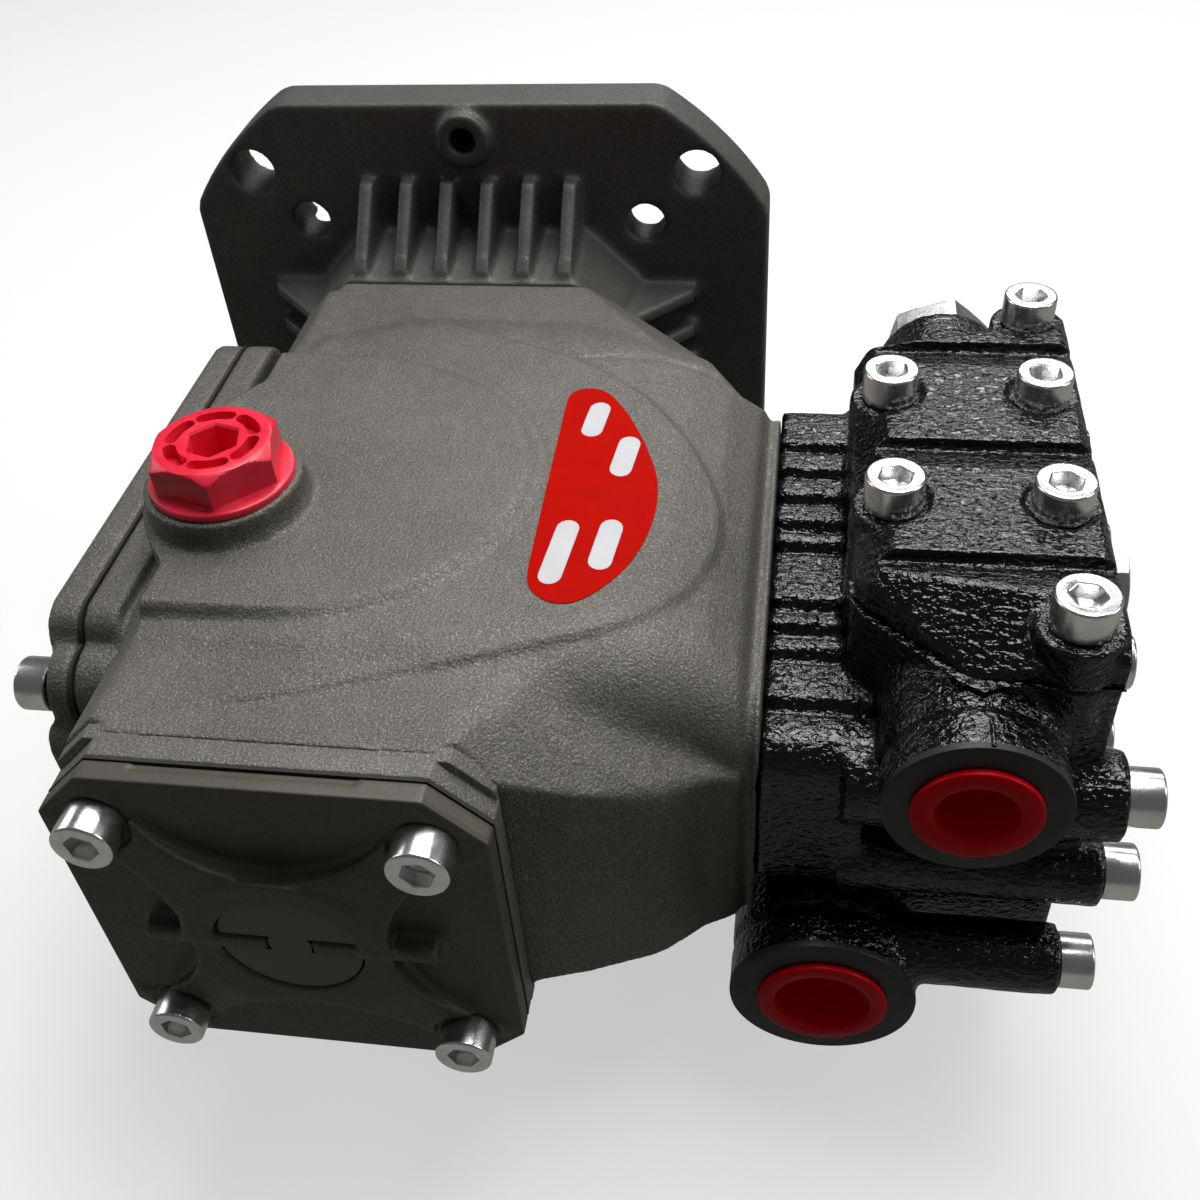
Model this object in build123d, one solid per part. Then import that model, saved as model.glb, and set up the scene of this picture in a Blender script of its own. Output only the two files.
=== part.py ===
"""Three-plunger high-pressure pump with a hollow input shaft and a motor flange.

Millimetres. The origin is the centre of the motor flange's mounting face, on the
shaft axis. +Y points to the motor, +X to the pump head, +Z is up.
"""
import math
import os

from build123d import *

# Motor flange and its neck
flange_across = 138.0
flange_round = flange_across + 26.0
flange_corner_round = 7.0
flange_thick = 14.0
flange_edge_round = 3.0
outer_circle = 149.2
outer_hole = 10.7
inner_circle = 115.0
inner_hole = 9.0
outer_register = 114.3
outer_register_depth = 4.5
inner_register = 95.0
inner_register_depth = 4.0
neck_floor = 8.5
neck_pocket = 63.0
neck_pocket_corner = 3.0
neck_flare = 6.0
fin_count = 6
fin_pitch = 9.6
fin_thick = 3.2
fin_height = 16.0
fin_root = 1.5
fin_tip = 4.0
eye_boss = 12.5
eye_boss_rise = 3.0
eye_hole = 6.0
eye_height = 61.5

# Crankcase
case_back = -34.5
case_front = -179.0
end_across = 72.0
end_corner_cut = 9.0
row_y = -104.0
head_face_x = 74.5
head_face_height = 50.0
head_face_length = 103.4
rear_y = -101.5
rear_face_x = -48.7
rear_flange = 7.0
# Rounded rectangles that make up the rear outline: middle y, length, height, corner
rear_blocks = (
    (-93.5, 97.0, 54.6, 6.0),
    (rear_y, 100.0, 44.0, 8.0),
    (rear_y, 106.0, 22.0, 6.0),
)
# Sections of the body from the rear cover to the head: x, length, height, corner
belly_sections = (
    (rear_face_x + 5, 92.0, 48.0, 12.0),
    (-38.0, 94.0, 52.0, 14.0),
    (-24.0, 112.0, 74.0, 18.0),
    (0.0, 132.0, 75.0, 20.0),
    (30.0, 130.0, 75.0, 20.0),
    (40.0, 123.0, 75.0, 20.0),
    (49.0, 113.0, 73.8, 18.0),
    (57.0, 107.0, 70.0, 16.0),
    (64.5, 104.0, 63.5, 15.0),
    (70.5, head_face_length, 55.0, 13.0),
    (72.0, head_face_length, head_face_height, 11.0),
    (head_face_x, head_face_length, head_face_height, 11.0),
)
# Plan of the shoulders between the end faces and the head's face: x, y behind the front end
shoulder_outline = (
    (10.0, 0.0), (36.0, 0.0), (46.0, 4.6), (57.0, 11.4), (66.0, 19.5), (74.5, 24.0),
)
shoulder_top = 36.0
shoulder_bottom = -25.5
# The slopes that cut the shoulders' tops: a point of each as x, depth behind its end
# face and height, then its drop for each mm along x and towards that end face
front_slope = (38.0, 24.0, 36.0, 0.647, 0.33)
back_slope = (36.0, 0.0, 31.5, 0.63, 0.52)
# Both stay below a slope that falls to the head's face: its height there and its drop
crest_end = 24.0
crest_drop = 0.56
step_rise = 0.9
end_flange = 3.6
end_body_cut = 6.4
pry_notch = (-19.5, 17.0, 2.0, 1.3)
disc_x = -4.0
disc_y = -110.0
disc_radius = 38.0
disc_rise = 39.9
# The outer step on the crankcase's top: x, y
step_outline = (
    (-25.0, -45.5), (3.0, -56.5), (29.0, -68.0), (52.0, -91.0), (62.5, -112.0),
    (63.5, -129.0), (54.0, -144.5), (35.0, -157.0), (5.0, -169.0), (-25.0, -175.0),
)

# Covers, gaskets and the oil window
gasket_thick = 0.6
side_cover_thick = 4.0
side_screw_spacing = 52.6
side_boss_foot = 46.0
side_boss_top = 20.0
side_boss_rise = 3.4
scallop_radius = 24.6
scallop_place = 41.6
sight_ring = 18.0
sight_ring_rise = 0.8
sight_radius = 12.5
sight_seat = 2.0
sight_thick = 3.0
sight_gap = 0.3
sight_drop = 0.5
pointer_width = 3.2
pointer_gap = 8.0
pointer_span = 50.0
rear_cover_thick = 5.0
rear_panel_rise = 1.6
rear_screw_seat = 7.5
rear_screw_length = 89.0
rear_screw_height = 30.0

# Hollow shaft and its seal
shaft_bore = 24.0
shaft_outer = 35.0
shaft_set_back = 6.0
shaft_length = 56.0
shaft_end_wall = 6.0
key_width = 8.0
key_rise = 3.3
seal_outer = 47.0
seal_thick = 7.0
running_gap = 0.05

# Oil filler and drain
filler_x = -23.5
filler_y = -120.5
filler_boss = 29.0
filler_boss_top = 45.0
filler_flange = 27.0
filler_flange_thick = 1.6
filler_hex = 20.0
filler_hex_height = 8.5
filler_hex_turn = 14.0
filler_socket = 9.0
filler_thread = 17.0
filler_depth = 9.0
drain_x = 0.0
drain_boss = 20.0
drain_boss_drop = 41.0
drain_hex = 13.0
drain_hex_height = 5.0
drain_thread = 10.0
drain_depth = 8.0

# Pump head
head_wall_x = 88.5
head_right_x = 129.0
head_front = -154.0
head_back = -54.0
head_bottom = -48.0
head_neck_top = 18.6
head_neck_round = 7.0
neck_groove = 2.6
neck_groove_depth = 2.4
neck_groove_places = (-69.5, -78.5, -87.0, -95.5, -102.0, -118.5, -125.0, -131.5, -143.5)
head_upper_floor = -20.0
head_low_front = -148.0
cover_joint_z = 36.0
cover_top_z = 45.6
cover_seat_z = 44.2
cover_spot = 12.6
cover_lug = 7.0
cover_skirt = 5.5
# The valve cover's front end as x, distance from the cylinder row's middle
cover_foot = ((88.5, 31.0), (90.5, 34.0), (106.0, 48.5), (129.0, 48.5))
cover_ridge = ((92.5, 31.0), (113.5, 37.5))
cover_screw_left_x = 94.5
cover_screw_right_x = 121.7
inner_screw_offset = 16.0
outer_screw_offset = 43.4
cylinder_pitch = 32.0
groove_width = 8.0
groove_depth = 2.6
groove_offsets = (-29.5, 1.0, 33.0)
bolt_rise = 10.0
bolt_offsets = (16.0, 47.5)
low_bolt_offset = 53.0
low_bolt_z = -30.0
bolt_seat_x = 133.5
low_bolt_seat_x = 129.0
bolt_boss = 13.0
top_bolt_boss = 15.6
outlet_x = 108.2
outlet_z = 20.5
outlet_boss = 29.3
port_collar = 8.0
port_waist = 2.0
port_waist_depth = 1.0
outlet_rim = 20.3
outlet_bore = 16.7
inlet_x = 87.6
inlet_z = -36.7
inlet_boss = 34.0
inlet_rim = 23.6
inlet_bore = 21.0
inlet_boss_length = 28.0
port_depth = 16.0
port_face_y = -165.4
port_back_y = -40.0
gauge_y = -118.0
gauge_z = 26.0
gauge_seat_x = 130.0
gauge_boss = 15.0
gauge_hex = 13.0
gauge_hex_height = 5.0
gauge_thread = 8.0
outlet_rear_hex = 22.0
inlet_rear_hex = 27.0
rear_hex_height = 8.0
rear_plug_depth = 12.0
cup_wall = 1.9
cup_depth = 11.0
cup_floor = 1.5
cup_rim_thick = 1.2

# Screws
m6_head = 10.0
m6_head_height = 6.0
m6_head_edge = 0.5
m6_socket = 5.0
m6_socket_depth = 3.0
m6_shank = 6.0
m6_grip = 14.0
tip_room = 1.0
thread_gap = 0.05


def facing_front(y, x=0.0, z=0.0):
    """A plane across the shaft whose normal points to -Y; its own x is X and its own y is Z."""
    return Plane(origin=(x, y, z), x_dir=(1, 0, 0), z_dir=(0, -1, 0))


def facing_back(y, x=0.0, z=0.0):
    return Plane(origin=(x, y, z), x_dir=(-1, 0, 0), z_dir=(0, 1, 0))


def facing_head(x, y=0.0, z=0.0):
    """A plane whose normal points to +X; its own x is Y and its own y is Z."""
    return Plane(origin=(x, y, z), x_dir=(0, 1, 0), z_dir=(1, 0, 0))


def facing_rear(x, y=0.0, z=0.0):
    return Plane(origin=(x, y, z), x_dir=(0, -1, 0), z_dir=(-1, 0, 0))


def cut_corner_square(across, cut):
    half = across / 2
    inner = half - cut
    return Polygon(
        (inner, half), (-inner, half), (-half, inner), (-half, -inner),
        (-inner, -half), (inner, -half), (half, -inner), (half, inner),
        align=None,
    )


def rod(plane, radius, length):
    return extrude(plane * Circle(radius), length)


def hexagon_bar(plane, across, length, turn=0.0):
    return extrude(plane * RegularPolygon(across / 2, 6, major_radius=False, rotation=turn), length)


def square_places(spacing):
    half = spacing / 2
    return [(-half, half), (half, half), (half, -half), (-half, -half)]


def socket_screw(plane, grip=m6_grip):
    """An M6 socket screw seated on the plane, its head along the plane's normal."""
    top = plane.offset(m6_head_height)
    head = rod(plane, m6_head / 2, m6_head_height)
    top_edges = [e for e in head.edges() if top.contains(e.center())]
    head = chamfer(top_edges, m6_head_edge)
    head -= hexagon_bar(top, m6_socket, -m6_socket_depth)
    return head + rod(plane, m6_shank / 2, -grip)


def screw_hole(plane, grip=m6_grip):
    return rod(plane, m6_shank / 2 + thread_gap, -grip - tip_room)


def end_profile(y, length, across=end_across, cut=end_corner_cut):
    return extrude(facing_front(y) * cut_corner_square(across, cut), length)


def bell_screw_planes():
    return [facing_back(case_back + neck_floor, x, z)
            for x, z in square_places(side_screw_spacing)]


def side_screw_planes():
    seat = case_front - gasket_thick - side_cover_thick
    return [facing_front(seat, x, z) for x, z in square_places(side_screw_spacing)]


def rear_screw_planes():
    x = rear_face_x - gasket_thick - rear_cover_thick
    return [facing_rear(x, rear_y + side * rear_screw_length / 2, rise * rear_screw_height / 2)
            for side in (-1, 1) for rise in (-1, 1)]


def cover_screw_places():
    """Front to back: the four on the right, then the two on the left."""
    offsets = (-outer_screw_offset, -inner_screw_offset, inner_screw_offset, outer_screw_offset)
    right = [(cover_screw_right_x, row_y + offset) for offset in offsets]
    left = [(cover_screw_left_x, row_y + offset) for offset in offsets[1:3]]
    return right + left


def cover_screw_plane(x, y):
    return Plane(origin=(x, y, cover_seat_z))


def head_bolt_planes():
    main = [facing_head(bolt_seat_x, row_y + side * offset, z) for offset in bolt_offsets
            for side in (-1, 1) for z in (-bolt_rise, bolt_rise)]
    low = [facing_head(low_bolt_seat_x, row_y + side * low_bolt_offset, low_bolt_z)
           for side in (-1, 1)]
    return main + low


def bolt_grip(plane):
    """A long bolt reaches the crankcase, a low one ends inside the head."""
    if plane.origin.Z > low_bolt_z + 1:
        return bolt_seat_x - head_face_x + m6_grip
    return m6_grip


def make_motor_bell():
    outline = Circle(flange_round / 2) & Rectangle(flange_across, flange_across)
    outline = fillet(outline.vertices(), flange_corner_round)
    plate = extrude(facing_front(0) * outline, flange_thick)
    back_edges = [e for e in plate.edges() if abs(e.center().Y) < running_gap]
    plate = fillet(back_edges, flange_edge_round)
    neck = loft([
        facing_front(-flange_thick) * cut_corner_square(
            end_across + neck_flare, end_corner_cut + neck_flare / 2),
        facing_front(case_back) * cut_corner_square(end_across, end_corner_cut)])
    bell = plate + neck
    low = end_across / 2 - fin_root
    high = low + fin_height + fin_root
    profile = Polygon(
        (-flange_thick, low), (case_back + fin_root, low), (case_back + fin_root, low + 2 * fin_root),
        (-flange_thick - fin_tip, high), (-flange_thick, high), align=None)
    for side in range(4):
        for i in range(fin_count):
            offset = (i - (fin_count - 1) / 2) * fin_pitch
            fin = extrude(facing_head(offset) * profile, fin_thick / 2, both=True)
            bell += Rot(0, 90 * side, 0) * fin
    eye = facing_front(-flange_thick, 0, eye_height)
    bell += rod(eye, eye_boss / 2, eye_boss_rise)
    bell -= rod(eye.offset(eye_boss_rise), eye_hole / 2, -flange_thick)
    bell -= end_profile(0, -case_back - neck_floor, neck_pocket, neck_pocket_corner)
    bell -= rod(facing_front(0), outer_register / 2, outer_register_depth)
    bell -= rod(facing_front(0), inner_register / 2, outer_register_depth + inner_register_depth)
    bell -= rod(facing_front(0), seal_outer / 2, -case_back)
    for circle, hole in ((outer_circle, outer_hole), (inner_circle, inner_hole)):
        for x, z in square_places(circle / math.sqrt(2)):
            bell -= rod(facing_front(0, x, z), hole / 2, -case_back)
    for plane in bell_screw_planes():
        bell -= screw_hole(plane)
    return bell


def make_shoulder(slope):
    """A corner between the front end face and the head's face, its top cut to a slope."""
    edge = [(x, case_front + depth) for x, depth in shoulder_outline]
    plan = Polygon(*edge, (head_face_x, row_y), (shoulder_outline[0][0], row_y), align=None)
    body = extrude(Plane.XY.offset(shoulder_bottom) * plan, shoulder_top - shoulder_bottom)
    x, depth, height, drop, fall = slope
    cut = Plane(origin=(x, case_front + depth, height), z_dir=(drop, -fall, 1.0))
    body = split(body, cut, keep=Keep.BOTTOM)
    crest = Plane(origin=(head_face_x, row_y, crest_end), z_dir=(crest_drop, 0, 1.0))
    return split(body, crest, keep=Keep.BOTTOM)


def make_belly(extra=0.0):
    """The crankcase's body from the rear cover to the head, by sections across X."""
    sections = [facing_head(x, rear_y if x < 0 else row_y)
                * RectangleRounded(length, height + 2 * extra, corner)
                for x, length, height, corner in belly_sections]
    lofts = [loft([first, second]) for first, second in zip(sections, sections[1:])]
    return Part() + lofts


def make_crankcase():
    body = end_profile(case_back, case_back - case_front)
    body += end_profile(case_back - end_flange, case_back - case_front - 2 * end_flange,
                        end_across, end_body_cut)
    body += make_belly()
    body += extrude(facing_rear(rear_face_x) * rear_outline(), -rear_flange)
    middle = Plane.XZ.offset(-(case_back + case_front) / 2)
    body += make_shoulder(front_slope)
    body += mirror(make_shoulder(back_slope), about=middle)
    edge = [(x, y) for x, y in step_outline]
    outline = Wire([Spline(*edge), Line(edge[-1], edge[0])])
    body += make_belly(step_rise) & extrude(Face(outline), end_across)
    left, right, width, drop = pry_notch
    notch = Pos((left + right) / 2, case_front, end_across / 2) * Box(right - left, 2 * width, 2 * drop)
    body -= notch
    body += extrude(Pos(disc_x, disc_y) * Circle(disc_radius), disc_rise)
    body += extrude(Pos(filler_x, filler_y) * Circle(filler_boss / 2), filler_boss_top)
    body += extrude(Pos(drain_x, row_y) * Circle(drain_boss / 2), -drain_boss_drop)
    body -= extrude(Pos(filler_x, filler_y, filler_boss_top) * Circle(filler_thread / 2),
                    -filler_depth - tip_room)
    body -= extrude(Pos(drain_x, row_y, -drain_boss_drop) * Circle(drain_thread / 2),
                    drain_depth + tip_room)
    shaft_room = shaft_set_back + shaft_length + case_back
    body -= rod(facing_front(case_back), shaft_outer / 2 + running_gap, shaft_room)
    for plane in bell_screw_planes() + side_screw_planes() + rear_screw_planes():
        body -= screw_hole(plane)
    for plane in head_bolt_planes():
        body -= screw_hole(plane, bolt_grip(plane))
    return body


def make_side_cover():
    """A plate with a raised star between four scallops, open at the oil window."""
    seat = case_front - gasket_thick
    front = seat - side_cover_thick
    middle = (Align.CENTER, Align.CENTER, Align.MIN)
    star = facing_front(front) * Cone(side_boss_foot, side_boss_top, side_boss_rise, align=middle)
    star &= end_profile(front, side_boss_rise, end_across - 3)
    for place in PolarLocations(scallop_place, 4):
        star -= facing_front(front) * place * Cylinder(scallop_radius, side_boss_rise, align=middle)
    top = front - side_boss_rise
    ring = facing_front(top) * Cylinder(sight_ring, sight_ring_rise, align=middle)
    ring &= Pos(0, top, sight_ring) * Box(4 * sight_ring, 2 * side_boss_rise, 2 * sight_ring)
    bar = extrude(facing_front(front) * Rectangle(pointer_span, pointer_width), side_boss_rise)
    cover = end_profile(seat, side_cover_thick) + star + ring + bar
    cover -= rod(facing_front(seat), sight_radius + sight_seat, sight_thick)
    window = rod(facing_front(seat), sight_radius, side_cover_thick + side_boss_rise + sight_ring_rise)
    window -= bar
    window += rod(facing_front(seat), pointer_gap / 2, side_cover_thick + side_boss_rise)
    cover -= window
    for plane in side_screw_planes():
        cover -= rod(plane, m6_head / 2 + 1, side_boss_rise)
        cover -= screw_hole(plane)
    return cover


def make_side_cover_gasket():
    gasket = end_profile(case_front, gasket_thick)
    gasket -= rod(facing_front(case_front), side_boss_top, gasket_thick)
    for plane in side_screw_planes():
        gasket -= screw_hole(plane)
    return gasket


def make_oil_sight_glass():
    """A flanged window whose front comes up between the two pointers."""
    seat = facing_front(case_front - gasket_thick)
    high = side_cover_thick + side_boss_rise - sight_drop
    front = rod(seat, sight_radius - sight_gap, high)
    pointers = extrude(seat * Rectangle(pointer_span, pointer_width + 2 * sight_gap), high)
    front -= pointers - rod(seat, pointer_gap / 2 - sight_gap, high)
    return rod(seat, sight_radius + sight_seat, sight_thick) + front


def rear_outline():
    """The rear joint's outline, seen from the rear: its own x points to -Y."""
    outline = Sketch()
    for middle, length, height, corner in rear_blocks:
        outline += Pos(-middle, 0) * RectangleRounded(length, height, corner)
    return outline


def make_rear_cover():
    joint = facing_rear(rear_face_x - gasket_thick)
    cover = extrude(joint * rear_outline(), rear_cover_thick)
    panel = extrude(joint.offset(rear_cover_thick) * rear_outline(), rear_panel_rise)
    for place in rear_screw_planes():
        panel -= rod(place, rear_screw_seat, rear_panel_rise)
    cover += panel
    for place in rear_screw_planes():
        cover -= screw_hole(place)
    return cover


def make_rear_cover_gasket():
    gasket = extrude(facing_rear(rear_face_x) * rear_outline(), gasket_thick)
    for place in rear_screw_planes():
        gasket -= screw_hole(place)
    return gasket


def make_hollow_shaft():
    mouth = facing_front(-shaft_set_back)
    shaft = rod(mouth, shaft_outer / 2, shaft_length)
    shaft -= rod(mouth, shaft_bore / 2, shaft_length - shaft_end_wall)
    keyway = Pos(0, shaft_bore / 4 + key_rise / 2) * Rectangle(key_width, shaft_bore / 2 + key_rise)
    return shaft - extrude(mouth * keyway, shaft_length - shaft_end_wall)


def make_shaft_seal():
    face = facing_front(case_back + seal_thick)
    seal = rod(face, seal_outer / 2, seal_thick)
    return seal - rod(face, shaft_outer / 2 + running_gap, seal_thick)


def make_oil_filler_plug():
    base = Plane(origin=(filler_x, filler_y, filler_boss_top))
    above = base.offset(filler_flange_thick)
    plug = rod(base, filler_flange / 2, filler_flange_thick)
    plug += hexagon_bar(above, filler_hex, filler_hex_height, filler_hex_turn)
    plug += rod(base, filler_thread / 2 - thread_gap, -filler_depth)
    return plug - hexagon_bar(above.offset(filler_hex_height), filler_socket,
                              -filler_hex_height + 1.5, filler_hex_turn)


def make_hex_plug(plane, across, height, thread, depth):
    head = hexagon_bar(plane, across, height) & rod(plane, across / math.sqrt(3) - 0.4, height)
    return head + rod(plane, thread / 2 - thread_gap, -depth)


def make_oil_drain_plug():
    plane = Plane(origin=(drain_x, row_y, -drain_boss_drop), x_dir=(1, 0, 0), z_dir=(0, 0, -1))
    return make_hex_plug(plane, drain_hex, drain_hex_height, drain_thread, drain_depth)


def cover_plan():
    """The valve cover's plan at its joint, with tapered front and back ends."""
    front = [(x, row_y - offset) for x, offset in cover_foot]
    back = [(x, row_y + offset) for x, offset in reversed(cover_foot)]
    return Polygon(*front, *back, align=None)


def end_bevel(side):
    """The plane of the bevel at the front, side -1, or at the back, side 1."""
    first, second = [Vector(x, row_y + side * offset, cover_top_z) for x, offset in cover_ridge]
    x, offset = cover_foot[2]
    foot = Vector(x, row_y + side * offset, cover_joint_z)
    normal = (second - first).cross(foot - first)
    return Plane(origin=first, z_dir=normal if normal.Z > 0 else normal * -1)


def make_valve_cover():
    cover = extrude(Plane.XY.offset(cover_joint_z) * cover_plan(), cover_top_z - cover_joint_z)
    for side in (-1, 1):
        cover = split(cover, end_bevel(side), keep=Keep.BOTTOM)
    left = Plane(origin=(head_wall_x, row_y, cover_top_z - cover_skirt), z_dir=(-1, 0, 1))
    cover = split(cover, left, keep=Keep.BOTTOM)
    right = Plane(origin=(head_right_x, row_y, cover_top_z - cover_skirt / 3), z_dir=(1, 0, 1))
    cover = split(cover, right, keep=Keep.BOTTOM)
    for x, y in cover_screw_places():
        cover += Pos(x, y, (cover_joint_z + cover_seat_z) / 2) * Cylinder(
            cover_lug, cover_seat_z - cover_joint_z)
    for offset in groove_offsets:
        wall = Plane(origin=(0, row_y + offset, cover_top_z), x_dir=(0, 1, 0), z_dir=(1, 0, 0))
        wedge = Polygon((0, 1), (0, -groove_depth), (-groove_width, 0), (-groove_width, 1), align=None)
        cover -= extrude(wall * wedge, 2 * head_right_x, dir=(1, 0, 0))
    for x, y in cover_screw_places():
        cover -= rod(cover_screw_plane(x, y), cover_spot / 2, cover_top_z - cover_seat_z + 1)
        cover -= screw_hole(cover_screw_plane(x, y))
    return cover


def make_head_neck():
    """The ribbed band between the crankcase and the head's body."""
    profile = Sketch() + RectangleRounded(head_face_length, 2 * head_neck_top, head_neck_round)
    middle = (head_front + head_back) / 2
    for y in neck_groove_places:
        for z in (-head_neck_top, head_neck_top):
            profile -= Pos(y - middle, z) * Rectangle(neck_groove, 2 * neck_groove_depth)
    return extrude(facing_head(head_face_x, middle) * profile, head_wall_x - head_face_x + 4)


def make_gallery(plane, boss, length):
    """A port boss with a collar and a waist behind it, and the gallery's tube to its far plug."""
    body = rod(plane, boss / 2, -port_collar)
    body += rod(plane.offset(-port_collar), boss / 2 - port_waist_depth, -port_waist)
    body += rod(plane.offset(-port_collar - port_waist), boss / 2, -length)
    return body + rod(plane, boss / 2 - port_waist_depth, port_face_y - port_back_y)


def make_cylinder_head():
    upper = extrude(Plane.XY.offset(head_upper_floor) * cover_plan(), cover_joint_z - head_upper_floor)
    for x, y in cover_screw_places():
        upper += Pos(x, y, cover_joint_z - cover_joint_z / 2) * Cylinder(cover_lug, cover_joint_z)
    width = head_right_x - head_wall_x
    low_back = 2 * row_y - head_low_front
    lower = Pos(head_wall_x + width / 2, row_y, (head_bottom + head_upper_floor + 8) / 2) * Box(
        width, low_back - head_low_front, head_upper_floor + 8 - head_bottom)
    lower = fillet(lower.edges().filter_by(Axis.X), 6.0)
    head = make_head_neck() + upper + lower
    outlet = facing_front(port_face_y, outlet_x, outlet_z)
    inlet = facing_front(port_face_y, inlet_x, inlet_z)
    head += make_gallery(outlet, outlet_boss, port_depth)
    head += make_gallery(inlet, inlet_boss, inlet_boss_length - port_collar)
    for plane in head_bolt_planes():
        boss = top_bolt_boss if plane.origin.Z > 0 else bolt_boss
        head += rod(plane, boss / 2, head_wall_x - plane.origin.X)
    head += rod(facing_head(gauge_seat_x, gauge_y, gauge_z), gauge_boss / 2, -gauge_boss)
    for plane in (outlet, facing_back(port_back_y, outlet_x, outlet_z)):
        head -= rod(plane, outlet_bore / 2, -port_depth)
    for plane in (inlet, facing_back(port_back_y, inlet_x, inlet_z)):
        head -= rod(plane, inlet_bore / 2, -port_depth)
    head -= rod(facing_head(gauge_seat_x, gauge_y, gauge_z), gauge_thread / 2, -gauge_thread)
    for plane in head_bolt_planes():
        head -= screw_hole(plane, bolt_grip(plane))
    for x, y in cover_screw_places():
        head -= screw_hole(cover_screw_plane(x, y))
    return head


def make_port_cup(x, z, rim, bore):
    """A push-in cup that closes a port for transport."""
    plane = facing_front(port_face_y, x, z)
    cup = rod(plane, bore / 2 - thread_gap, -cup_depth) + rod(plane, rim / 2, cup_rim_thick)
    inside = plane.offset(cup_rim_thick)
    return cup - rod(inside, bore / 2 - cup_wall, cup_floor - cup_depth - cup_rim_thick)


def build_parts():
    parts = {
        "motor_bell": make_motor_bell(),
        "bell_screws": Compound(children=[socket_screw(p) for p in bell_screw_planes()]),
        "crankcase": make_crankcase(),
        "side_cover": make_side_cover(),
        "side_cover_gasket": make_side_cover_gasket(),
        "oil_sight_glass": make_oil_sight_glass(),
        "rear_cover": make_rear_cover(),
        "rear_cover_gasket": make_rear_cover_gasket(),
        "rear_cover_screws": Compound(children=[socket_screw(p) for p in rear_screw_planes()]),
        "hollow_shaft": make_hollow_shaft(),
        "shaft_seal": make_shaft_seal(),
        "oil_filler_plug": make_oil_filler_plug(),
        "oil_drain_plug": make_oil_drain_plug(),
        "valve_cover": make_valve_cover(),
        "cylinder_head": make_cylinder_head(),
        "head_bolts": Compound(children=[socket_screw(p, bolt_grip(p)) for p in head_bolt_planes()]),
        "outlet_port_plug": make_port_cup(outlet_x, outlet_z, outlet_rim, outlet_bore),
        "inlet_port_plug": make_port_cup(inlet_x, inlet_z, inlet_rim, inlet_bore),
        "outlet_rear_plug": make_hex_plug(
            facing_back(port_back_y, outlet_x, outlet_z), outlet_rear_hex, rear_hex_height,
            outlet_bore, rear_plug_depth),
        "inlet_rear_plug": make_hex_plug(
            facing_back(port_back_y, inlet_x, inlet_z), inlet_rear_hex, rear_hex_height,
            inlet_bore, rear_plug_depth),
        "gauge_port_plug": make_hex_plug(
            facing_head(gauge_seat_x, gauge_y, gauge_z), gauge_hex, gauge_hex_height,
            gauge_thread, gauge_thread - tip_room),
    }
    for i, plane in enumerate(side_screw_planes(), start=1):
        parts[f"side_cover_screw_{i}"] = socket_screw(plane)
    for i, (x, y) in enumerate(cover_screw_places(), start=1):
        parts[f"valve_cover_screw_{i}"] = socket_screw(cover_screw_plane(x, y))
    return parts


os.makedirs("parts", exist_ok=True)
for node, solid in build_parts().items():
    export_step(solid, f"parts/{node}.step")
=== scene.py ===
import math

import bmesh
import bpy
import numpy as np
from mathutils import Matrix, Vector
from mathutils.bvhtree import BVHTree


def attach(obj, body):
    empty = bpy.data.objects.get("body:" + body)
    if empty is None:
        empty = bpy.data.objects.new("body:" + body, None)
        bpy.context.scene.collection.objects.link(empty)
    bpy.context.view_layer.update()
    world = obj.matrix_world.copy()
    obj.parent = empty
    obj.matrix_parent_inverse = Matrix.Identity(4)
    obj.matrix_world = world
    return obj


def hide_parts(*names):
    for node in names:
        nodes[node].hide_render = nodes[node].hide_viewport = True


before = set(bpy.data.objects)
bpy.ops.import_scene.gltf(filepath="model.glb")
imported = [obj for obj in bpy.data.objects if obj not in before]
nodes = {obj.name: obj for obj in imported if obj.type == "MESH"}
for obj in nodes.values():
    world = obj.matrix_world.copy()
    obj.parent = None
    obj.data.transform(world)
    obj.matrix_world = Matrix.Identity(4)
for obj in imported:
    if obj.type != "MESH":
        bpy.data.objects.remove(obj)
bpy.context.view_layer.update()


def linear(hexColour):
    values = [int(hexColour[i:i + 2], 16) / 255 for i in (1, 3, 5)]
    return tuple(v / 12.92 if v <= 0.04045 else ((v + 0.055) / 1.055) ** 2.4 for v in values) + (1.0,)


def millimetres(*values):
    return tuple(v / 1000 for v in values)


# Camera at the photograph's angle
cameraData = bpy.data.cameras.new("photoCamera")
cameraData.sensor_width = 36.0
cameraData.lens = 39.92
cameraData.clip_start = 0.01
camera = bpy.data.objects.new("photoCamera", cameraData)
bpy.context.collection.objects.link(camera)
camera.matrix_world = Matrix((
    (0.9886, -0.0488, 0.1422, 0.07851),
    (0.1376, 0.6739, -0.7258, -0.29970),
    (-0.0604, 0.7372, 0.6730, 0.18537),
    (0.0, 0.0, 0.0, 1.0),
))
bpy.context.scene.camera = camera
bpy.context.scene.view_settings.view_transform = "Standard"


def addNode(tree, kind, inputs=None, **settings):
    node = tree.nodes.new(kind)
    for key, value in settings.items():
        setattr(node, key, value)
    for key, value in (inputs or {}).items():
        if isinstance(value, bpy.types.NodeSocket):
            tree.links.new(value, node.inputs[key])
        else:
            node.inputs[key].default_value = value
    return node


def newMaterial(name):
    material = bpy.data.materials.new(name)
    material.use_nodes = True
    material.node_tree.nodes.clear()
    tree = material.node_tree
    coords = addNode(tree, "ShaderNodeTexCoord").outputs["Object"]
    return material, tree, coords


def finishMaterial(tree, shader):
    addNode(tree, "ShaderNodeOutputMaterial", {"Surface": shader.outputs[0]})


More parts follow.
